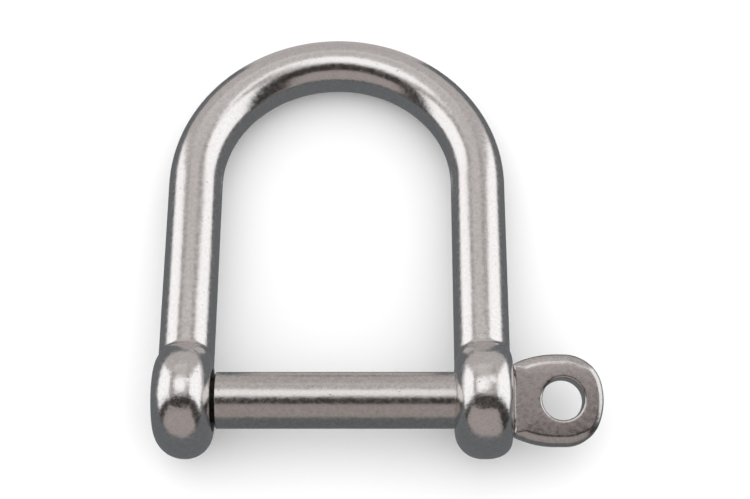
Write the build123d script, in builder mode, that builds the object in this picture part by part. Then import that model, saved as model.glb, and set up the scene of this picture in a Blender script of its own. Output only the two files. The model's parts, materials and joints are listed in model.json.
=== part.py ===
"""Wide dee shackle with a screw pin, 8 mm stainless steel: a forged bow and its eye-headed pin.

The shackle lies on its side, as it rests on a bench.  X runs along the pin, towards its eye; Y runs from
the pin towards the crown; Z is up.  The origin is the middle of the pin's axis between the two ears.
"""
from build123d import *
from math import asin, atan2, cos, degrees, radians, sin, sqrt, tan
from collections import namedtuple
import os

# ---- driving dimensions, mm ----------------------------------------------------------------------
inside_width = 34.2  # between the legs
inside_length = 48.3  # from the pin to the inside of the crown
bar_diameter = 7.95  # round bar that the bow is bent from
pin_diameter = 8.0
ear_diameter = 16.5
neck_fillet = 2.0  # where each leg runs into its ear

thread_diameter = 7.9  # M8 x 1.25, at its crests
thread_pitch = 1.25
thread_relief = 1.25  # plain neck between thread and shank
relief_undercut = 0.05  # below the thread's root
tip_inset = 0.15  # from the threaded ear's outer face to the pin's tip
shank_gap = 0.5  # from the threaded ear's inner face to the shank, where the relief shows
shank_edge = 0.2
thread_bore_clearance = 0.1  # on the radius
head_bore_clearance = 0.2  # on the radius
bore_chamfer = 0.5

eye_thickness = 4.2
eye_halves = ((1, 6.38, 5.4), (-1, 6.52, 4.9))  # side, half width and corner radius: not quite alike
eye_length = 12.74  # from its shoulder to its tip
eye_belly = 6.05  # from the shoulder to where the eye is widest
eye_taper = 9.45  # half axis, along the pin, of the ellipse that narrows the eye to its shoulder
eye_end = 9.5  # radius of the flatter arc between the rounded end's corners
eye_bevel = (0.7, 0.95)  # down the edge and in across the face
eye_hole_diameter = 5.9
eye_hole_place = 7.05  # from the shoulder to the hole's centre
eye_hole_round = 0.35
eye_turn = 18.0  # degrees the eye is turned on the pin's axis, out of the bow's plane
shoulder_gap = 0.05  # between the eye's shoulder and the ear

Ear = namedtuple("Ear", "side inner outer inner_corner outer_corner")
# side is the ear's place along X; inner and outer are its faces' distances from the middle;
# each corner is an ellipse's half axes, along the pin and across it
threaded_ear = Ear(-1, 17.08, 25.42, (3.7, 3.7), (4.5, 4.55))
plain_ear = Ear(+1, 17.08, 25.1, (3.7, 3.7), (3.4, 2.3))

# ---- worked out from them ------------------------------------------------------------------------
bar_radius = bar_diameter / 2
pin_radius = pin_diameter / 2
ear_radius = ear_diameter / 2
leg_offset = (inside_width + bar_diameter) / 2  # from the middle to each leg's axis
crown_centre = inside_length + pin_radius - inside_width / 2  # from the pin's axis, along the legs
bar_reach = crown_centre + leg_offset  # to the bar's axis at the top of the crown
leg_start = 2.0  # the bar's ends lie hidden in the ears

# both ears and the crown touch the bench, so the crown dips by the angle between their tangents
rest_tilt = asin((ear_radius - bar_radius) / bar_reach)


def pin_plane(x, side=1):
    """Plane across the pin's axis at x, facing +X, or -X where side is -1."""
    return Plane(origin=(x, 0, 0), z_dir=(side, 0, 0))


def long_plane(turn=0.0):
    """Plane through the pin's axis, turned about it: its x runs along the pin, its y towards the crown."""
    angle = turn - rest_tilt
    return Plane(origin=(0, 0, 0), x_dir=(1, 0, 0), z_dir=(0, -sin(angle), cos(angle)))


bow_plane = long_plane()
eye_plane = long_plane(turn=radians(eye_turn))

thread_radius = thread_diameter / 2
thread_depth = 0.6134 * thread_pitch
thread_root = thread_radius - thread_depth
thread_flank = tan(radians(30))
groove_mouth = thread_pitch * 7 / 16  # half the groove's width at the crests
groove_over = 0.1  # the groove's cutter stands this much above the crests
relief_radius = thread_root - relief_undercut
thread_tip = -threaded_ear.outer + tip_inset
shank_start = -threaded_ear.inner + shank_gap
thread_end = shank_start - thread_relief
groove_start = thread_tip - thread_pitch
shoulder = plain_ear.outer + shoulder_gap
belly = shoulder + eye_belly
end_centre = shoulder + eye_length - eye_end

# ---- bow: one bar bent to a dee, with an ear forged on each end -----------------------------------
with BuildPart() as bow:
    with BuildLine(bow_plane) as bar_axis:
        Line((-leg_offset, leg_start), (-leg_offset, crown_centre))
        ThreePointArc((-leg_offset, crown_centre), (0, bar_reach), (leg_offset, crown_centre))
        Line((leg_offset, crown_centre), (leg_offset, leg_start))
    with BuildSketch(Plane(origin=bar_axis.line @ 0, z_dir=bar_axis.line % 0)):
        Circle(bar_radius)
    sweep()

    for side, inner, outer, (along_in, across_in), (along_out, across_out) in (threaded_ear, plain_ear):
        with BuildSketch(bow_plane):
            with BuildLine():
                in_centre = (side * (inner + along_in), ear_radius - across_in)
                out_centre = (side * (outer - along_out), ear_radius - across_out)
                in_corner = EllipticalCenterArc(in_centre, along_in, across_in, 90, arc_size=side * 90)
                out_corner = EllipticalCenterArc(out_centre, along_out, across_out, 90, arc_size=-side * 90)
                Line(in_corner @ 0, out_corner @ 0)
                Polyline(in_corner @ 1, (side * inner, 0), (side * outer, 0), out_corner @ 1)
            make_face()
        revolve(axis=Axis.X)

    necks = bow.edges().filter_by(GeomType.BSPLINE)
    fillet(necks, neck_fillet)

    bore_radii = (thread_diameter / 2 + thread_bore_clearance, pin_radius + head_bore_clearance)
    for ear, bore_radius in zip((threaded_ear, plain_ear), bore_radii):
        with Locations(pin_plane(ear.side * ear.inner, -ear.side)):
            CounterSinkHole(bore_radius, bore_radius + bore_chamfer, depth=ear.outer - ear.inner + 1)

# ---- screw pin: threaded end, plain shank and a flat eye to turn it by -----------------------------
with BuildPart() as screw_pin:
    with BuildSketch(eye_plane):
        taper_turn = degrees(asin(eye_belly / eye_taper))
        with BuildLine():
            shoulder_ends = []
            for side, half_width, corner_radius in eye_halves:
                corner_rise = half_width - corner_radius
                corner_run = sqrt((eye_end - corner_radius) ** 2 - corner_rise**2)
                corner_turn = degrees(atan2(corner_rise, corner_run))
                CenterArc((end_centre, 0), eye_end, 0, side * corner_turn)
                corner_centre = (end_centre + corner_run, side * corner_rise)
                corner = CenterArc(corner_centre, corner_radius, side * 90, side * (corner_turn - 90))
                taper = EllipticalCenterArc(
                    (belly, 0), eye_taper, half_width, side * 90, arc_size=side * taper_turn
                )
                Line(taper @ 0, corner @ 0)
                shoulder_ends.append(taper @ 1)
            Line(*shoulder_ends)
        make_face()
        with Locations((shoulder + eye_hole_place, 0)):
            Circle(eye_hole_diameter / 2, mode=Mode.SUBTRACT)
    extrude(amount=eye_thickness / 2, both=True)

    eye_normal = Axis(eye_plane.origin, eye_plane.z_dir)
    for end in (0, -1):
        eye_face = screw_pin.faces().filter_by(eye_normal).sort_by(eye_normal)[end]
        hole_rim = eye_face.edges().filter_by(lambda edge: edge.is_closed)
        shoulder_edge = eye_face.edges().sort_by(Axis.X)[:1]
        chamfer(eye_face.edges() - hole_rim - shoulder_edge, *eye_bevel, reference=eye_face)
        fillet(hole_rim, eye_hole_round)

    with BuildSketch(bow_plane):
        with BuildLine():
            Polyline(
                (thread_tip, 0),
                (thread_tip, thread_root),
                (thread_tip + thread_depth, thread_radius),
                (thread_end, thread_radius),
                (thread_end, relief_radius),
                (shank_start, relief_radius),
                (shank_start, pin_radius - shank_edge),
                (shank_start + shank_edge, pin_radius),
                (shoulder, pin_radius),
                (shoulder, 0),
                close=True,
            )
        make_face()
    revolve(axis=Axis.X)

    # the thread is a groove cut along a helix, from one turn off the tip into the relief
    with BuildLine():
        thread_path = Helix(
            pitch=thread_pitch,
            height=shank_start - thread_relief / 2 - groove_start,
            radius=thread_radius,
            center=(groove_start, 0, 0),
            direction=(1, 0, 0),
        )
    radial = thread_path @ 0 - Vector(groove_start, 0, 0)
    with BuildSketch(Plane(origin=thread_path @ 0, x_dir=radial, z_dir=thread_path % 0)):
        with BuildLine():
            Polyline(
                (-thread_depth, groove_mouth - thread_depth * thread_flank),
                (groove_over, groove_mouth + groove_over * thread_flank),
                (groove_over, -groove_mouth - groove_over * thread_flank),
                (-thread_depth, -groove_mouth + thread_depth * thread_flank),
                close=True,
            )
        make_face()
    sweep(path=thread_path, is_frenet=True, mode=Mode.SUBTRACT)

os.makedirs("parts", exist_ok=True)
bow.part.label = "bow"
export_step(bow.part, "parts/bow.step")
screw_pin.part.label = "screw_pin"
export_step(screw_pin.part, "parts/screw_pin.step")
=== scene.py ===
"""The looks of a wide stainless dee shackle: its forged bow and its screw pin, on a pale studio floor.

Shapes are drawn in the shackle's own plane, in millimetres: u runs along the pin towards its eye,
v from the pin towards the crown, and w up out of the plane.  `to_frame` lays that plane down the way
the shackle rests, in metres.
"""
import json
import math
from collections import namedtuple

import bpy
import numpy as np
from mathutils import Matrix, Vector


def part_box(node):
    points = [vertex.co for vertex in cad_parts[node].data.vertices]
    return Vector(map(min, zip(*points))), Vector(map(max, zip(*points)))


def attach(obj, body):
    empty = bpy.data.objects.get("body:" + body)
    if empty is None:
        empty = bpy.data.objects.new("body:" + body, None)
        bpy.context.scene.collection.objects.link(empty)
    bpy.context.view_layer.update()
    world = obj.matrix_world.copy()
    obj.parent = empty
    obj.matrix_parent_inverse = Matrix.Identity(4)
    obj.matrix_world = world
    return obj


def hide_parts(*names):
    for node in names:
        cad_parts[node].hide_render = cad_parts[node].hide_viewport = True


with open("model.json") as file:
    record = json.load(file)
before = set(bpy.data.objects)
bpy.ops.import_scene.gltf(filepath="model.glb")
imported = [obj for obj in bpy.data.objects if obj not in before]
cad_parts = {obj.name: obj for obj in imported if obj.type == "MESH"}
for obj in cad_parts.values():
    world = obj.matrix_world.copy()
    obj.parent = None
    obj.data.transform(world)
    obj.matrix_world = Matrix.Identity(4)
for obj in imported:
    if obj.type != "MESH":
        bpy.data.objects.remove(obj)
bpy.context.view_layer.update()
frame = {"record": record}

MM = 0.001
TAU = 2 * math.pi

# ---- what the frame says -------------------------------------------------------------------------
bow_low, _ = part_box("bow")
pin_low, pin_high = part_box("screw_pin")
key_hole = next(mount for mount in frame["record"]["mounts"] if mount["name"] == "key_hole")

EAR_RADIUS = -bow_low.z / MM
THREAD_TIP = pin_low.x / MM
EYE_TIP = pin_high.x / MM
EYE_HOLE_PLACE = key_hole["pos_m"][0] / MM
EYE_HOLE_RADIUS = key_hole["dims"]["r_mm"]
EYE_NORMAL = Vector(key_hole["axis"]).normalized()
FLOOR_LEVEL = min(bow_low.z, pin_low.z)

# ---- driving dimensions, mm ----------------------------------------------------------------------
LEG_OFFSET = 21.08  # from the middle to each leg's axis
CROWN_CENTRE = 35.18  # from the pin's axis, along the legs
LEG_RADIUS = 3.99
CROWN_RADIUS = 3.94  # the bar is a little thinner where it is bent
NECK_FILLET = 0.8  # where each leg runs into its ear
NECK_END = 12.0  # above this the leg is plain bar

Ear = namedtuple("Ear", "side inner outer inner_corner outer_corner power")
# side is the ear's place along u; inner and outer are its faces; its corners are superellipses, given by
# their half axes along the pin and across it, and power is the outer corner's
THREADED_EAR = Ear(-1, 17.08, 25.4, (3.74, 3.6), (4.56, 4.7), 2.1)
PLAIN_EAR = Ear(+1, 17.08, 25.08, (3.8, 3.75), (3.4, 2.3), 2.0)
INNER_POWER = 2.0
SHOULDER_POWER = 0.2  # added to an ear's powers on its side towards the leg, where its corners are fuller
SHOULDER_RISE = (0.5, 6.0)  # over these heights

THREAD_PITCH = 1.25
THREAD_CREST = 3.95  # radius
THREAD_ROOT = 3.27
CREST_SHARE = 0.16  # share of the pitch that is flat at the crests
ROOT_SHARE = 0.14  # and at the roots
THREAD_GAP = 0.07  # between the two threads, on the radius
THREADED_BORE_MOUTH = 4.45  # radius
PLAIN_BORE_RADIUS = 4.2
PLAIN_BORE_MOUTH = 4.7
MOUTH_LIP = (0.12, 0.05)  # a bore's broken edge: across its mouth, and in
RELIEF_RADIUS = 3.14
RELIEF_LENGTH = 1.25
SHANK_RADIUS = 4.0
SHANK_START = -16.64
SHANK_EDGE = 0.22  # rounding of the shank's end beside the relief
SHANK_NECK = 0.55  # rounding of the shank where it meets the eye
THREAD_END = SHANK_START - RELIEF_LENGTH
TIP_RADIUS = THREAD_ROOT - 0.2
CHAMFER_SLOPE = 0.9  # of the thread's two ends
RUNOUT = 0.35  # length over which the crests fall away beside the relief
GROOVE_SHADE_START = THREAD_END - 0.1  # from here to the shank both threads are in the shade, coloured near black as painted shade
SHOULDER = 25.15  # where the eye starts

EYE_THICKNESS = 4.2
EYE_HALVES = ((6.52, 4.9), (6.38, 5.4))  # half width and corner radius, on the lower and the upper side
EYE_BELLY = 6.05  # from the shoulder to the widest place
EYE_TAPER = 9.45  # half axis, along the pin, of the ellipse that narrows to the shoulder
EYE_END = 9.5  # radius of the flatter arc between the rounded end's corners
EYE_CROWN = 0.03  # how far its flat faces fall away towards the bevel
EYE_BEVEL = np.array((0.98, 0.72))  # in across the face, and down the edge
TIP_BEVEL = np.array((0.56, 0.44))  # the same at the eye's tip, where it is narrower
TIP_REACH = (0.8, 3.2)  # distances from the tip over which it narrows
BEVEL_SOFTNESS = 0.5  # share of the bevel that is rounding at each of its ends
SHOULDER_ROUND = 0.4  # rounding that stands in for the bevel at the shoulder
SHOULDER_REACH = (0.1, 1.6)  # distances from the shoulder over which the bevel takes over
OUTLINE_EASE = 0.64  # length over which the outline's corners are eased
HOLE_ROUND = 0.35

CREASE = 32  # degrees; edges sharper than this look sharp
BAR_STEPS = 96  # points round the bar
CROWN_STEPS = 120
LEG_STEPS = 27
PIN_STEPS = 120
EYE_STEPS = 264


# ---- frames --------------------------------------------------------------------------------------
BAR_REACH = CROWN_CENTRE + LEG_OFFSET
REST_TILT = math.asin((EAR_RADIUS - CROWN_RADIUS) / BAR_REACH)


def to_frame(points):
    """Points (u, v, w) of the shackle's own plane, in mm, as (x, y, z) in metres where it rests."""
    u, v, w = np.moveaxis(np.asarray(points, float), -1, 0)
    cosine, sine = math.cos(REST_TILT), math.sin(REST_TILT)
    return np.stack((u, v * cosine + w * sine, w * cosine - v * sine), -1) * MM


def eye_to_frame(points):
    """Points (u, across, out) of the eye's plate, in mm, turned with the plate about the pin's axis."""
    u, across, out = np.moveaxis(np.asarray(points, float), -1, 0)
    cosine, sine = EYE_NORMAL.z, EYE_NORMAL.y
    return np.stack((u, across * cosine + out * sine, out * cosine - across * sine), -1) * MM


# ---- mesh helpers --------------------------------------------------------------------------------
def skin(name, rings, closed=False):
    """A mesh over rings of points, shape (rings, points, 3), with its ends closed to a pole each,
    or joined into one another where closed."""
    count, around = rings.shape[:2]
    points = rings.reshape(-1, 3)
    rows = range(count if closed else count - 1)
    faces = []
    for row in rows:
        low, high = row * around, (row + 1) % count * around
        for column in range(around):
            following = (column + 1) % around
            faces.append((low + column, low + following, high + following, high + column))
    if not closed:
        for row, order in ((0, -1), (count - 1, 1)):
            pole = len(points)
            points = np.vstack((points, rings[row].mean(0)))
            for column in range(around):
                edge = (row * around + column, row * around + (column + 1) % around)
                faces.append((*edge[::order], pole))
    mesh = bpy.data.meshes.new(name)
    mesh.from_pydata(points.tolist(), [], faces)
    mesh.validate()
    turn_outward(mesh)
    piece = bpy.data.objects.new(name, mesh)
    bpy.context.scene.collection.objects.link(piece)
    return piece


def turn_outward(mesh):
    """Turns every face over if the closed mesh is inside out."""
    mesh.calc_loop_triangles()
    corners = np.array([[mesh.vertices[i].co for i in t.vertices] for t in mesh.loop_triangles])
    volume = np.einsum("ij,ij->i", corners[:, 0], np.cross(corners[:, 1], corners[:, 2])).sum()
    if volume < 0:
        mesh.flip_normals()


def combine(piece, other, operation):
    """Cuts other out of piece, or joins it on, and leaves no trace of other."""
    modifier = piece.modifiers.new("combine", "BOOLEAN")
    modifier.operation = operation
    modifier.solver = "EXACT"
    modifier.object = other
    evaluated = piece.evaluated_get(bpy.context.evaluated_depsgraph_get())
    mesh = bpy.data.meshes.new_from_object(evaluated)
    piece.modifiers.clear()
    old = piece.data
    piece.data = mesh
    bpy.data.meshes.remove(old)
    bpy.data.objects.remove(other)


def smooth(piece, crease):
    """Smooth shading, with edges sharper than crease degrees kept sharp."""
    piece.data.shade_smooth()
    piece.data.set_sharp_from_angle(angle=math.radians(crease))


def ramp(value, start, end):
    """0 before start, 1 after end, and smooth between."""
    t = np.clip((np.asarray(value, float) - start) / (end - start), 0, 1)
    return t * t * (3 - 2 * t)


# ---- bow -----------------------------------------------------------------------------------------
def crest_of(ear):
    """Where the ear is widest, between its two corners, measured outwards."""
    return (ear.inner + ear.inner_corner[0] + ear.outer - ear.outer_corner[0]) / 2


def ear_distance(ear, u, v, w):
    """Distance from the ear's surface, and its gradient, at points whose u is measured outwards."""
    radial = np.maximum(np.hypot(v, w), 1e-9)
    outer_side = u > crest_of(ear)
    face = np.where(outer_side, ear.outer, -ear.inner)
    along = np.where(outer_side, ear.outer_corner[0], ear.inner_corner[0])
    across = np.where(outer_side, ear.outer_corner[1], ear.inner_corner[1])
    power = np.where(outer_side, ear.power, INNER_POWER) + SHOULDER_POWER * ramp(v, *SHOULDER_RISE)
    sign = np.where(outer_side, 1.0, -1.0)
    run = sign * u - face + along
    rise = radial - EAR_RADIUS + across
    run_share, rise_share = np.maximum(run / along, 1e-9), np.maximum(rise / across, 1e-9)
    size = (run_share**power + rise_share**power) ** (1 / power)
    run_slope = (run_share / size) ** (power - 1) / along
    rise_slope = (rise_share / size) ** (power - 1) / across
    steepness = np.hypot(run_slope, rise_slope)
    in_corner = (run > 0) & (rise > 0)
    by_face = run - along > rise - across
    distance = np.where(in_corner, (size - 1) / steepness, np.maximum(run - along, rise - across))
    run_gradient = np.where(in_corner, run_slope / steepness, np.where(by_face, 1.0, 0.0))
    rise_gradient = np.where(in_corner, rise_slope / steepness, np.where(by_face, 0.0, 1.0))
    return distance, (sign * run_gradient, rise_gradient * v / radial, rise_gradient * w / radial)


def leg_distance(u, v, w):
    """Distance from the leg's surface, and its gradient. The leg ends in a ball inside the ear."""
    below = np.minimum(v, 0)
    aside = u - LEG_OFFSET
    reach = np.maximum(np.sqrt(aside**2 + below**2 + w**2), 1e-9)
    return reach - LEG_RADIUS, (aside / reach, below / reach, w / reach)


def neck_distance(ear, u, v, w):
    """Distance from the ear and leg together, with a rolling-ball fillet where they meet."""
    ear_away, ear_gradient = ear_distance(ear, u, v, w)
    leg_away, leg_gradient = leg_distance(u, v, w)
    together = sum(a * b for a, b in zip(ear_gradient, leg_gradient))
    spread = np.maximum(1 - together**2, 1e-4)
    ear_depth, leg_depth = NECK_FILLET - ear_away, NECK_FILLET - leg_away
    rolling = (
        (ear_depth > 0)
        & (leg_depth > 0)
        & (ear_depth > leg_depth * together)
        & (leg_depth > ear_depth * together)
    )
    square = ear_depth**2 + leg_depth**2 - 2 * ear_depth * leg_depth * together
    reach = np.sqrt(np.maximum(square, 0) / spread)
    return np.where(rolling, NECK_FILLET - reach, np.minimum(ear_away, leg_away))


def ear_rings(ear, angles):
    """Rings round the ear and neck, from the ear's far pole up to the plain leg.

    Each point is found between the ring's centre and a place outside, by halving the distance."""
    pole = 0.9985 * math.pi / 2
    below_steps, above_steps, halvings, outside = 44, 64, 40, 14.0
    below = -EAR_RADIUS * np.sin(np.linspace(pole, 0, below_steps))
    above = np.linspace(0, NECK_END, above_steps)[1:]
    heights = np.concatenate((below, above))[:, None]
    crest = crest_of(ear)
    centre = crest + (LEG_OFFSET - crest) * ramp(heights, -EAR_RADIUS, EAR_RADIUS)
    outward, upward = np.cos(angles), np.sin(angles)
    low = np.zeros((len(heights), len(angles)))
    high = np.full_like(low, outside)
    for _ in range(halvings):
        middle = (low + high) / 2
        inside = neck_distance(ear, centre + middle * outward, heights + 0 * middle, middle * upward) < 0
        low, high = np.where(inside, middle, low), np.where(inside, high, middle)
    u = ear.side * (centre + low * outward)
    return np.stack((u, heights + 0 * low, low * upward), -1)


def bar_rings(centres, outwards, radii, angles):
    """Round rings about a line of centres in the shackle's plane."""
    outwards = np.asarray(outwards)[:, None, :]
    radial = outwards * np.cos(angles)[:, None] * np.asarray(radii)[:, None, None]
    flat = np.asarray(centres)[:, None, :] + radial
    upward = np.asarray(radii)[:, None] * np.sin(angles)
    return np.concatenate((flat, upward[..., None]), -1)


def bow_rings():
    """Rings all along the bow, from the threaded ear round the crown to the plain ear."""
    angles = np.linspace(0, TAU, BAR_STEPS, endpoint=False)
    climb = np.linspace(NECK_END, CROWN_CENTRE, LEG_STEPS + 1)[1:]
    legs = []
    for side in (-1, 1):
        centres = np.stack((side * LEG_OFFSET + 0 * climb, climb), -1)
        legs.append(bar_rings(centres, [(side, 0)] * LEG_STEPS, [LEG_RADIUS] * LEG_STEPS, angles))
    turns = np.linspace(math.pi, 0, CROWN_STEPS + 2)[1:-1]
    outwards = np.stack((np.cos(turns), np.sin(turns)), -1)
    radii = LEG_RADIUS + (CROWN_RADIUS - LEG_RADIUS) * np.sin(turns)
    crown = bar_rings(outwards * LEG_OFFSET + (0, CROWN_CENTRE), outwards, radii, angles)
    ears = [ear_rings(ear, angles) for ear in (THREADED_EAR, PLAIN_EAR)]
    return np.concatenate((ears[0], legs[0], crown, legs[1][::-1], ears[1][::-1]))


def thread_radii(along, angles, root, crest):
    """Radius of a right-hand V thread at places along its axis and angles round it."""
    turns = np.asarray(along)[:, None] / THREAD_PITCH - angles / TAU
    rise = np.abs(2 * (turns % 1) - 1)
    return root + (crest - root) * np.clip((rise - ROOT_SHARE) / (1 - CREST_SHARE - ROOT_SHARE), 0, 1)


def lathe(along, radii, angles):
    """Rings about the pin's axis. Radii has a row for each place along, and one column or one per angle."""
    radii = np.broadcast_to(radii, (len(along), len(angles)))
    along = np.broadcast_to(np.asarray(along)[:, None], radii.shape)
    return np.stack((along, radii * np.cos(angles), radii * np.sin(angles)), -1)


def bore_mouth(depth, mouth):
    """Radius of a bore's countersink at a depth under the face it opens in."""
    lip, lip_depth = MOUTH_LIP
    cone = mouth - lip - (depth - lip_depth)
    return np.where(depth < lip_depth, mouth - lip * depth / lip_depth, cone)


def bore_cutter(ear, root, crest, mouth):
    """A closed tool for an ear's bore, countersunk at both mouths, and threaded if root is under crest."""
    angles = np.linspace(0, TAU, BAR_STEPS, endpoint=False)
    beyond = 0.6
    along = np.arange(ear.inner - beyond, ear.outer + beyond, THREAD_PITCH / 20)
    wall = thread_radii(ear.side * along, angles, root, crest)
    depth = np.minimum(along - ear.inner, ear.outer - along)[:, None]
    radii = np.maximum(wall, bore_mouth(depth, mouth))
    return skin("bore_cutter", to_frame(lathe(ear.side * along, radii, angles)))


def make_bow():
    """The bow, with both its bores cut."""
    piece = skin("shackle_bow", to_frame(bow_rings()))
    threaded = (THREAD_ROOT + THREAD_GAP, THREAD_CREST + THREAD_GAP, THREADED_BORE_MOUTH)
    combine(piece, bore_cutter(THREADED_EAR, *threaded), "DIFFERENCE")
    plain = (PLAIN_BORE_RADIUS, PLAIN_BORE_RADIUS, PLAIN_BORE_MOUTH)
    combine(piece, bore_cutter(PLAIN_EAR, *plain), "DIFFERENCE")
    smooth(piece, CREASE)
    return piece


# ---- screw pin -----------------------------------------------------------------------------------
def shank_profile():
    """The pin's turned outline from its tip to inside the eye, as places along and radii."""
    thread = np.arange(THREAD_TIP, THREAD_END, THREAD_PITCH / 24)
    turned = np.array(
        [
            (THREAD_END + 0.02, THREAD_ROOT),
            (THREAD_END + 0.2, RELIEF_RADIUS),
            (SHANK_START - 0.16, RELIEF_RADIUS),
            (SHANK_START - 0.04, RELIEF_RADIUS + 0.06),
            (SHANK_START, RELIEF_RADIUS + 0.2),
            (SHANK_START, SHANK_RADIUS - SHANK_EDGE),
        ]
    )
    arc = np.linspace(0, math.pi / 2, 6)[1:]
    start = (SHANK_START + SHANK_EDGE, SHANK_RADIUS - SHANK_EDGE)
    start = start + SHANK_EDGE * np.stack((-np.cos(arc), np.sin(arc)), -1)
    plain = np.linspace(SHANK_START + 1, SHOULDER - 1.5, 60)
    shank = np.stack((plain, SHANK_RADIUS + 0 * plain), -1)
    arc = np.linspace(0, math.pi / 2, 8)
    shank_end = SHOULDER + 0.03
    end = (shank_end - SHANK_NECK, SHANK_RADIUS - SHANK_NECK)
    end = end + SHANK_NECK * np.stack((np.sin(arc), np.cos(arc)), -1)
    core = 1.4
    inside = np.array([(shank_end, core), (SHOULDER + 1.6, core)])
    return thread, np.concatenate((turned, start, shank, end, inside))


def shank_rings():
    """Rings along the pin's thread, relief and shank."""
    angles = np.linspace(0, TAU, PIN_STEPS, endpoint=False)
    thread, turned = shank_profile()
    tip = TIP_RADIUS + CHAMFER_SLOPE * (thread - THREAD_TIP)
    runout = THREAD_CREST - CHAMFER_SLOPE * np.maximum(thread - (THREAD_END - RUNOUT), 0)
    radii = thread_radii(thread, angles, THREAD_ROOT, THREAD_CREST)
    radii = np.minimum(radii, np.minimum(tip, runout)[:, None])
    return np.concatenate((lathe(thread, radii, angles), lathe(turned[:, 0], turned[:, 1:], angles)))


def eye_outline():
    """The eye's outline (u, across), anticlockwise from the middle of its shoulder, evenly spaced."""
    belly = SHOULDER + EYE_BELLY
    end_centre = EYE_TIP - EYE_END
    taper = np.linspace(math.asin(EYE_BELLY / EYE_TAPER), 0, 40)
    sides = []
    for half, corner in EYE_HALVES:
        rise = half - corner
        run = math.sqrt((EYE_END - corner) ** 2 - rise**2)
        meeting = math.atan2(rise, run)
        narrowing = np.stack((belly - EYE_TAPER * np.sin(taper), half * np.cos(taper)), -1)
        turn = np.linspace(math.pi / 2, meeting, 30)
        rounding = np.stack((end_centre + run + corner * np.cos(turn), rise + corner * np.sin(turn)), -1)
        turn = np.linspace(meeting, 0, 20)[1:]
        end = np.stack((end_centre + EYE_END * np.cos(turn), EYE_END * np.sin(turn)), -1)
        sides.append(np.concatenate((narrowing, rounding, end)))
    lower, upper = sides
    outline = np.concatenate(([(SHOULDER, 0)], lower * (1, -1), upper[::-1][1:], [(SHOULDER, 0)]))
    fine_steps = 1200
    return even(round_corners(even(outline, fine_steps), OUTLINE_EASE), EYE_STEPS)[:-1]


def even(points, count):
    """The same line with count evenly spaced points."""
    lengths = np.concatenate(([0], np.cumsum(np.linalg.norm(np.diff(points, axis=0), axis=1))))
    places = np.linspace(0, lengths[-1], count + 1)
    return np.stack([np.interp(places, lengths, column) for column in points.T], -1)


def round_corners(points, radius):
    """A closed line with its corners eased over about the given length, by averaging along it."""
    step = np.linalg.norm(np.diff(points, axis=0), axis=1).mean()
    reach = max(1, round(radius / step))
    kernel = np.hanning(2 * reach + 3)[1:-1]
    kernel /= kernel.sum()
    ring = points[:-1]
    padded = np.concatenate((ring[-reach:], ring, ring[:reach]))
    eased = np.stack([np.convolve(padded[:, i], kernel, "valid") for i in range(2)], -1)
    return np.concatenate((eased, eased[:1]))


def eye_rings():
    """Closed rings from the hole's wall up over the face, round the edge and back underneath."""
    outline = eye_outline()
    ahead = np.roll(outline, -1, 0) - np.roll(outline, 1, 0)
    ahead /= np.linalg.norm(ahead, axis=1)[:, None]
    inward = np.stack((-ahead[:, 1], ahead[:, 0]), -1)
    centre = np.array((EYE_HOLE_PLACE, 0))
    if ((centre - outline) * inward).sum() < 0:
        inward = -inward
    bearing = np.arctan2(outline[:, 1], outline[:, 0] - EYE_HOLE_PLACE)
    rim = np.stack((np.cos(bearing), np.sin(bearing)), -1)
    away = ramp(outline[:, 0] - SHOULDER, *SHOULDER_REACH)
    towards_tip = 1 - ramp(EYE_TIP - outline[:, 0], *TIP_REACH)
    bevel = EYE_BEVEL[:, None] + (TIP_BEVEL - EYE_BEVEL)[:, None] * towards_tip
    bevel_in, bevel_down = SHOULDER_ROUND + (bevel - SHOULDER_ROUND) * away
    top = EYE_THICKNESS / 2

    def level(flat, out):
        return np.concatenate((flat, np.broadcast_to(out, (len(outline),))[:, None]), -1)

    half = []
    wall = top - HOLE_ROUND
    for share in (0.0, 0.5, 1.0):
        half.append(level(centre + rim * EYE_HOLE_RADIUS, wall * share))
    for turn in np.linspace(0, math.pi / 2, 7)[1:]:
        radius = EYE_HOLE_RADIUS + HOLE_ROUND * (1 - math.cos(turn))
        half.append(level(centre + rim * radius, wall + HOLE_ROUND * math.sin(turn)))
    brim = centre + rim * (EYE_HOLE_RADIUS + HOLE_ROUND)
    crest = outline + inward * (bevel_in * (1 + BEVEL_SOFTNESS))[:, None]
    for share in np.linspace(0, 1, 12)[1:-1]:
        half.append(level(brim + (crest - brim) * share, top - EYE_CROWN * share**2))
    bevel_top = top - EYE_CROWN
    for place in np.linspace(0, 1, 18):
        across, down = bevel_point(place)
        half.append(level(outline + inward * (bevel_in * across)[:, None], bevel_top - bevel_down * down))
    side = bevel_top - bevel_down * (1 + BEVEL_SOFTNESS)
    for share in (0.66, 0.33):
        half.append(level(outline, side * share))
    edge = level(outline, 0.0)
    under = [ring * (1, 1, -1) for ring in half[:0:-1]]
    return np.stack(half + [edge] + under)


def bevel_point(place):
    """A point of the bevel, eased into face and edge, as shares of its width inwards and its depth down."""
    face_end, face_corner = np.array((1 + BEVEL_SOFTNESS, 0.0)), np.array((1.0, 0.0))
    edge_corner, edge_end = np.array((0.0, 1.0)), np.array((0.0, 1 + BEVEL_SOFTNESS))
    first = face_corner + (edge_corner - face_corner) * BEVEL_SOFTNESS
    last = edge_corner + (face_corner - edge_corner) * BEVEL_SOFTNESS
    bend = 0.28  # share of the way that each rounding takes
    if place < bend:
        return bent(face_end, face_corner, first, place / bend)
    if place > 1 - bend:
        return bent(last, edge_corner, edge_end, (place - 1 + bend) / bend)
    return first + (last - first) * (place - bend) / (1 - 2 * bend)


def bent(start, corner, end, share):
    """A point on the smooth bend from start to end that a corner draws out."""
    return (1 - share) ** 2 * start + 2 * share * (1 - share) * corner + share**2 * end


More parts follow.
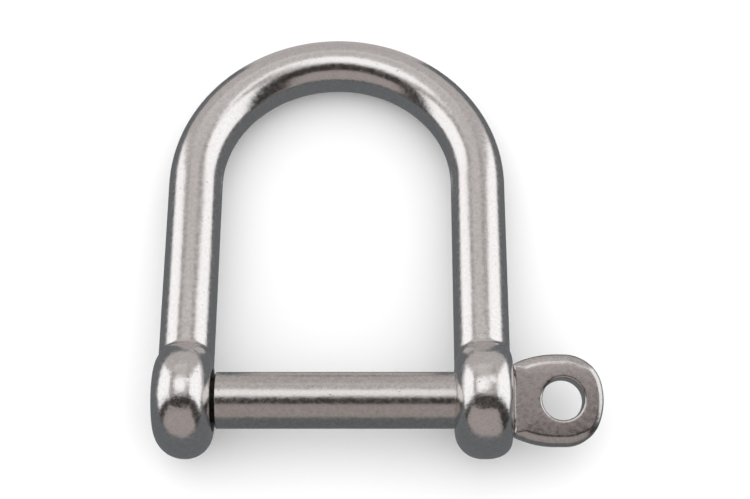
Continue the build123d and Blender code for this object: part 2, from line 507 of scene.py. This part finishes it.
def make_pin():
    """The pin, turned part and eye in one."""
    piece = skin("shackle_pin", to_frame(shank_rings()))
    eye = skin("eye", eye_to_frame(eye_rings()), closed=True)
    combine(piece, eye, "UNION")
    smooth(piece, CREASE)
    return piece


# ---- materials -----------------------------------------------------------------------------------
def material(name):
    made = bpy.data.materials.new(name)
    made.use_nodes = True
    tree = made.node_tree
    tree.nodes.clear()
    output = tree.nodes.new("ShaderNodeOutputMaterial")
    return made, tree, output


def noise_at(tree, coordinates, grain_mm, detail=2.0, roughness=0.5):
    """Noise whose lumps are about grain_mm across."""
    node = tree.nodes.new("ShaderNodeTexNoise")
    node.inputs["Scale"].default_value = 1 / (grain_mm * MM)
    node.inputs["Detail"].default_value = detail
    node.inputs["Roughness"].default_value = roughness
    tree.links.new(coordinates, node.inputs["Vector"])
    return node.outputs["Fac"]


def mix_colours(tree, share, first, second):
    """The first colour where share is 0 and the second where it is 1; each is a colour or a socket."""
    node = tree.nodes.new("ShaderNodeMix")
    node.data_type = "RGBA"
    tree.links.new(share, node.inputs[0])
    for socket, colour in zip(node.inputs[6:8], (first, second)):
        if isinstance(colour, tuple):
            socket.default_value = (*colour, 1)
        else:
            tree.links.new(colour, socket)
    return node.outputs[2]


def remap(tree, value, low, high, to_low, to_high):
    node = tree.nodes.new("ShaderNodeMapRange")
    node.interpolation_type = "SMOOTHSTEP"
    for socket, number in zip(("From Min", "From Max", "To Min", "To Max"), (low, high, to_low, to_high)):
        node.inputs[socket].default_value = number
    tree.links.new(value, node.inputs["Value"])
    return node.outputs["Result"]


def arithmetic(tree, operation, first, second):
    node = tree.nodes.new("ShaderNodeMath")
    node.operation = operation
    for socket, value in zip(node.inputs, (first, second)):
        if isinstance(value, (int, float)):
            socket.default_value = value
        else:
            tree.links.new(value, socket)
    return node.outputs["Value"]


Finish = namedtuple("Finish", "light dark gloss mottle grain_depth lump_depth wave_depth pitting")
# light and dark are colours, gloss and mottle a roughness and how far it strays; the depths are in mm, and
# pitting is a share of full
BOW_FINISH = Finish((0.80, 0.78, 0.775), (0.72, 0.70, 0.69), 0.19, 0.05, 0.0050, 0.012, 0.045, 1.0)
PIN_FINISH = Finish((0.70, 0.68, 0.67), (0.60, 0.575, 0.56), 0.22, 0.05, 0.0050, 0.009, 0.020, 1.0)
EYE_FINISH = Finish((0.68, 0.62, 0.605), (0.59, 0.54, 0.525), 0.29, 0.04, 0.0075, 0.006, 0.010, 0.1)
THREAD_FINISH = Finish((0.52, 0.505, 0.495), (0.38, 0.365, 0.355), 0.32, 0.08, 0.0050, 0.010, 0.010, 0.5)
# painted shade: near-black colours that stand in for the shade of the crevice at the pin's relief and the
# bore's mouth
GROOVE_SHADE_FINISH = Finish((0.20, 0.19, 0.185), (0.10, 0.095, 0.09), 0.42, 0.08, 0.0050, 0.010, 0.010, 0.5)

# sizes of the surface's features, mm
GRAIN, MOTTLE, WAVE, SWELL, PIT_SPACING = 0.2, 0.6, 1.5, 4.5, 0.42
SHADE_LEVELS = (0.82, 1.18)  # of grain and mottle together, from the dark colour to the light
GLOSS_LEVELS = (0.3, 0.7)  # of mottle, from the smoothest to the roughest
PIT_LEVELS = (0.75, 0.80)  # the noise between these is a pit's wall
PIT_COLOUR = (0.16, 0.145, 0.135)
PIT_SHADE = 0.55
PIT_ROUGHNESS = 0.2
PIT_DEPTH = 0.006
SWELL_SHARE = 2.0  # of the swells against the waves
FORGED_UP_TO = (7.0, 13.0)  # heights over which the forged ear's waves calm down to the bent bar's
BAR_CALM = 0.4
FLAT_FACE = 0.998  # cosine of the slope up to which the eye's face counts as flat


def steel(name, finish):
    """Tumbled and polished stainless steel: fine orange-peel grain, shallow swells, and small dark pits."""
    made, tree, output = material(name)
    shader = tree.nodes.new("ShaderNodeBsdfPrincipled")
    place = tree.nodes.new("ShaderNodeTexCoord").outputs["Object"]
    shader.inputs["Metallic"].default_value = 1.0

    grain = noise_at(tree, place, GRAIN, 3.0, 0.6)
    mottle = noise_at(tree, place, MOTTLE, 3.0, 0.6)
    wave = noise_at(tree, place, WAVE, 2.0, 0.5)
    swell = noise_at(tree, place, SWELL, 1.0, 0.45)
    pits = remap(tree, noise_at(tree, place, PIT_SPACING, 1.0, 0.4), *PIT_LEVELS, 0.0, 1.0)
    apart = tree.nodes.new("ShaderNodeSeparateXYZ")
    tree.links.new(place, apart.inputs["Vector"])
    forged_end, bar_start = (height * MM for height in FORGED_UP_TO)
    forging = remap(tree, apart.outputs["Y"], forged_end, bar_start, 1.0, BAR_CALM)

    shade = remap(tree, arithmetic(tree, "ADD", grain, mottle), *SHADE_LEVELS, 0.0, 1.0)
    base = mix_colours(tree, shade, finish.dark, finish.light)
    pit_share = arithmetic(tree, "MULTIPLY", pits, PIT_SHADE * finish.pitting)
    tree.links.new(mix_colours(tree, pit_share, base, PIT_COLOUR), shader.inputs["Base Color"])

    smoothest, roughest = finish.gloss - finish.mottle, finish.gloss + finish.mottle
    roughness = remap(tree, mottle, *GLOSS_LEVELS, smoothest, roughest)
    roughness = arithmetic(tree, "ADD", roughness, arithmetic(tree, "MULTIPLY", pits, PIT_ROUGHNESS))
    tree.links.new(roughness, shader.inputs["Roughness"])

    uneven = arithmetic(tree, "ADD", wave, arithmetic(tree, "MULTIPLY", swell, SWELL_SHARE))
    uneven = arithmetic(tree, "MULTIPLY", uneven, forging)
    height = arithmetic(tree, "MULTIPLY", grain, finish.grain_depth)
    height = arithmetic(tree, "ADD", height, arithmetic(tree, "MULTIPLY", mottle, finish.lump_depth))
    height = arithmetic(tree, "ADD", height, arithmetic(tree, "MULTIPLY", uneven, finish.wave_depth))
    pit_depth = arithmetic(tree, "MULTIPLY", pits, PIT_DEPTH * finish.pitting)
    height = arithmetic(tree, "SUBTRACT", height, pit_depth)
    bump = tree.nodes.new("ShaderNodeBump")
    bump.inputs["Strength"].default_value = 1.0
    bump.inputs["Distance"].default_value = MM
    tree.links.new(height, bump.inputs["Height"])
    tree.links.new(bump.outputs["Normal"], shader.inputs["Normal"])
    tree.links.new(shader.outputs["BSDF"], output.inputs["Surface"])
    return made


def dress(piece, finishes, finish_at):
    """Gives a piece its materials, and each face the one that finish_at says for its place and normal."""
    piece.data.materials.clear()
    for finish in finishes:
        piece.data.materials.append(finish)
    for face in piece.data.polygons:
        face.material_index = finish_at(face.center / MM, face.normal)


def bow_finish_at(place, _):
    """0 outside, 1 in the threaded bore, and 2 in its mouth beside the pin's relief, painted dark as shade.
    """
    margin = 0.02
    in_bore = math.hypot(place.y, place.z) < THREADED_BORE_MOUTH + margin
    if not in_bore or place.x > 0:
        return 0
    return 2 if place.x > GROOVE_SHADE_START else 1


def pin_finish_at(place, normal):
    """0 on the shank and the eye's bevel, 1 on the eye's flat faces, 2 on the thread, 3 in the relief,
    painted dark as shade.
    """
    if place.x > SHOULDER and abs(normal.dot(EYE_NORMAL)) > FLAT_FACE:
        return 1
    margin = 0.01
    if place.x > SHANK_START + margin:
        return 0
    return 3 if place.x > GROOVE_SHADE_START else 2


def floor_material():
    made, tree, output = material("pale_floor")
    shader = tree.nodes.new("ShaderNodeBsdfPrincipled")
    place = tree.nodes.new("ShaderNodeTexCoord").outputs["Object"]
    unevenness = noise_at(tree, place, 40.0)
    tree.links.new(mix_colours(tree, unevenness, FLOOR_DARK, FLOOR_LIGHT), shader.inputs["Base Color"])
    shader.inputs["Roughness"].default_value = 0.9
    tree.links.new(shader.outputs["BSDF"], output.inputs["Surface"])
    return made


# ---- studio --------------------------------------------------------------------------------------
# The steel mirrors a small light tent: white soft boxes left, right and overhead, grey-brown card in
# front and behind, a dark gap where the camera looks in, and a slate table.
WHITE_CARD = (1.21, 1.21, 1.215)
CEILING_CARD = (0.59, 0.56, 0.55)
FAR_CEILING = (0.665, 0.635, 0.63)
CEILING_EDGE = (0.42, 0.39, 0.38)
BACK_CARD = (0.52, 0.49, 0.48)
FRONT_CARD = (0.396, 0.356, 0.343)
GAP = (0.038, 0.033, 0.031)
SLATE = (0.150, 0.160, 0.168)
TABLE_EDGE = -4.0  # degrees above level, where the gap gives way to the slate table
GAP_REACH = (-0.12, 0.0)  # how far back the gap goes on the dome, as a share of the radius
FLOOR_DARK, FLOOR_LIGHT = (0.86, 0.86, 0.86), (0.9, 0.9, 0.9)
DAYLIGHT = 1.4

CAMERA_PLACE = (7.653, -106.414, 244.242)  # in the shackle's own plane, mm
CAMERA_TURN = (math.radians(28.12), 0.0068, -0.0008)  # tilt from straight down on that plane, yaw, roll
CAMERA_LENS = 90.41

Card = namedtuple("Card", "name axis side distance across along fade colour")
# axis and side say which wall the card hangs on, at its distance in mm; across and along are its reach
# in mm on that wall, in the order of the two other axes; fade is the width of its soft border
CARDS = (
    Card("front_card", 1, -1, 105, (-205, 116), (-14, 168), 22, FRONT_CARD),
    Card("back_sweep", 1, 1, 66, (-20, 18), (-60, 2), 4, BACK_CARD),
    Card("ceiling_card", 2, 1, 381, (-310, 214), (-71, 582), 40, CEILING_EDGE),
    Card("ceiling_middle", 2, 1, 380, (-225, 135), (-71, 582), 75, CEILING_CARD),
    Card("ceiling_far", 2, 1, 379, (-345, 200), (330, 600), 90, FAR_CEILING),
    Card("overhead_box", 2, 1, 378, (-215, 95), (-45, 210), 72, WHITE_CARD),
    Card("overhead_wing", 2, 1, 377, (45, 215), (95, 215), 45, WHITE_CARD),
    Card("left_box", 0, -1, 650, (-185, 667), (-49, 810), 110, WHITE_CARD),
    Card("right_box", 0, 1, 466, (-160, 525), (-31, 880), 80, WHITE_CARD),
)


def only_in_reflections(piece):
    """Keeps a studio piece out of the picture and the floor's light, and apart from the object."""
    piece.visible_camera = False
    piece.visible_diffuse = False
    piece.visible_shadow = False


def glow(name, tree, output):
    """Emission whose colour, and how much of it shows, come from the mesh's own colour layer."""
    layer = tree.nodes.new("ShaderNodeAttribute")
    layer.attribute_name = name
    shader = tree.nodes.new("ShaderNodeEmission")
    clear = tree.nodes.new("ShaderNodeBsdfTransparent")
    mix = tree.nodes.new("ShaderNodeMixShader")
    tree.links.new(layer.outputs["Color"], shader.inputs["Color"])
    tree.links.new(layer.outputs["Alpha"], mix.inputs[0])
    tree.links.new(clear.outputs["BSDF"], mix.inputs[1])
    tree.links.new(shader.outputs["Emission"], mix.inputs[2])
    tree.links.new(mix.outputs["Shader"], output.inputs["Surface"])


def paint(piece, colours, shares):
    """Gives the piece a glow of these colours, one for each point, showing by its shares."""
    layer = piece.data.color_attributes.new("studio", "FLOAT_COLOR", "POINT")
    layer.data.foreach_set("color", np.c_[colours, shares].astype(np.float32).ravel())
    made, tree, output = material(piece.name + "_glow")
    glow("studio", tree, output)
    piece.data.materials.append(made)


def make_card(card):
    """One card of the tent: a gridded sheet whose border fades out."""
    cells = 40
    first = np.linspace(*card.across, cells + 1)
    second = np.linspace(*card.along, cells + 1)
    grid = np.zeros((cells + 1, cells + 1, 3))
    others = [axis for axis in range(3) if axis != card.axis]
    grid[..., card.axis] = card.side * card.distance
    grid[..., others[0]] = first
    grid[..., others[1]] = second[:, None]
    shares = 1.0
    for place, (low, high) in ((first, card.across), (second[:, None], card.along)):
        shares = shares * ramp(place, low, low + card.fade) * ramp(-place, -high, card.fade - high)
    sheet = sheet_of(card.name, grid * MM)
    paint(sheet, np.tile(card.colour, (grid.size // 3, 1)), shares.ravel())
    only_in_reflections(sheet)


def sheet_of(name, grid):
    """An open mesh over a grid of points, shape (rows, columns, 3)."""
    rows, columns = grid.shape[:2]
    corners = [i * columns + j for i in range(rows - 1) for j in range(columns - 1)]
    faces = [(c, c + 1, c + columns + 1, c + columns) for c in corners]
    mesh = bpy.data.meshes.new(name)
    mesh.from_pydata(grid.reshape(-1, 3).tolist(), [], faces)
    piece = bpy.data.objects.new(name, mesh)
    bpy.context.scene.collection.objects.link(piece)
    return piece


def make_tent():
    """The tent's cards, and round them a dome: slate below, and above it card behind and dark in front."""
    for card in CARDS:
        make_card(card)
    rows, columns = 180, 96
    radius = 3.0  # metres
    pole = 89.5  # degrees
    elevations = np.radians(np.linspace(-pole, pole, rows))[:, None]
    azimuths = np.linspace(0, TAU, columns, endpoint=False)
    level = 0 * azimuths
    rings = np.stack(
        (
            np.cos(elevations) * np.cos(azimuths),
            np.cos(elevations) * np.sin(azimuths),
            np.sin(elevations) + level,
        ),
        -1,
    )
    dome = skin("studio_dome", rings * radius)
    points = np.array([vertex.co for vertex in dome.data.vertices])
    elevation = np.degrees(np.arcsin(np.clip(points[:, 2] / radius, -1, 1)))
    above = ramp(elevation, TABLE_EDGE - 1, TABLE_EDGE + 1)
    behind = ramp(points[:, 1] / radius, *GAP_REACH)[:, None]
    upper = np.array(GAP) + (np.array(BACK_CARD) - GAP) * behind
    colours = np.array(SLATE) + (upper - SLATE) * above[:, None]
    paint(dome, colours, np.ones(len(points)))
    only_in_reflections(dome)


def make_floor():
    """A wide pale floor just under the shackle, which its reflections don't show."""
    half, cells = 1.5, 40
    across = np.linspace(-half, half, cells + 1)
    level = np.full((cells + 1, cells + 1), FLOOR_LEVEL)
    floor = sheet_of("floor", np.stack((*np.meshgrid(across, across), level), -1))
    floor.data.materials.append(floor_material())
    floor.visible_glossy = False


def make_daylight():
    """An even pale surround, for the floor and the backdrop."""
    world = bpy.data.worlds.new("pale_surround")
    world.use_nodes = True
    background = world.node_tree.nodes["Background"]
    background.inputs["Color"].default_value = (1.0, 1.0, 1.0, 1)
    background.inputs["Strength"].default_value = DAYLIGHT
    world.cycles_visibility.glossy = False
    bpy.context.scene.world = world


def make_camera():
    """The camera, above the shackle and in front of its pin."""
    data = bpy.data.cameras.new("camera")
    data.sensor_width = 36.0
    data.lens = CAMERA_LENS
    data.clip_start = 0.01
    camera = bpy.data.objects.new("camera", data)
    bpy.context.scene.collection.objects.link(camera)
    tilt, yaw, roll = CAMERA_TURN
    turn = Matrix.Rotation(tilt - REST_TILT, 4, "X") @ Matrix.Rotation(yaw, 4, "Y")
    turn = turn @ Matrix.Rotation(roll, 4, "Z")
    camera.matrix_world = Matrix.Translation(Vector(to_frame(CAMERA_PLACE))) @ turn
    bpy.context.scene.camera = camera


# ---- scene ---------------------------------------------------------------------------------------
make_camera()
make_daylight()
make_floor()
make_tent()

polished_steel = steel("polished_steel", BOW_FINISH)
satin_steel = steel("satin_steel", PIN_FINISH)
tumbled_steel = steel("tumbled_steel", EYE_FINISH)
thread_steel = steel("thread_steel", THREAD_FINISH)
# painted shade for the crevice round the pin's relief
groove_shade_steel = steel("groove_shade_steel", GROOVE_SHADE_FINISH)

shackle_bow = make_bow()
dress(shackle_bow, (polished_steel, thread_steel, groove_shade_steel), bow_finish_at)
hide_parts("bow")
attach(shackle_bow, "bow")

shackle_pin = make_pin()
dress(shackle_pin, (satin_steel, tumbled_steel, thread_steel, groove_shade_steel), pin_finish_at)
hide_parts("screw_pin")
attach(shackle_pin, "pin")

bpy.context.scene.view_settings.view_transform = "Standard"
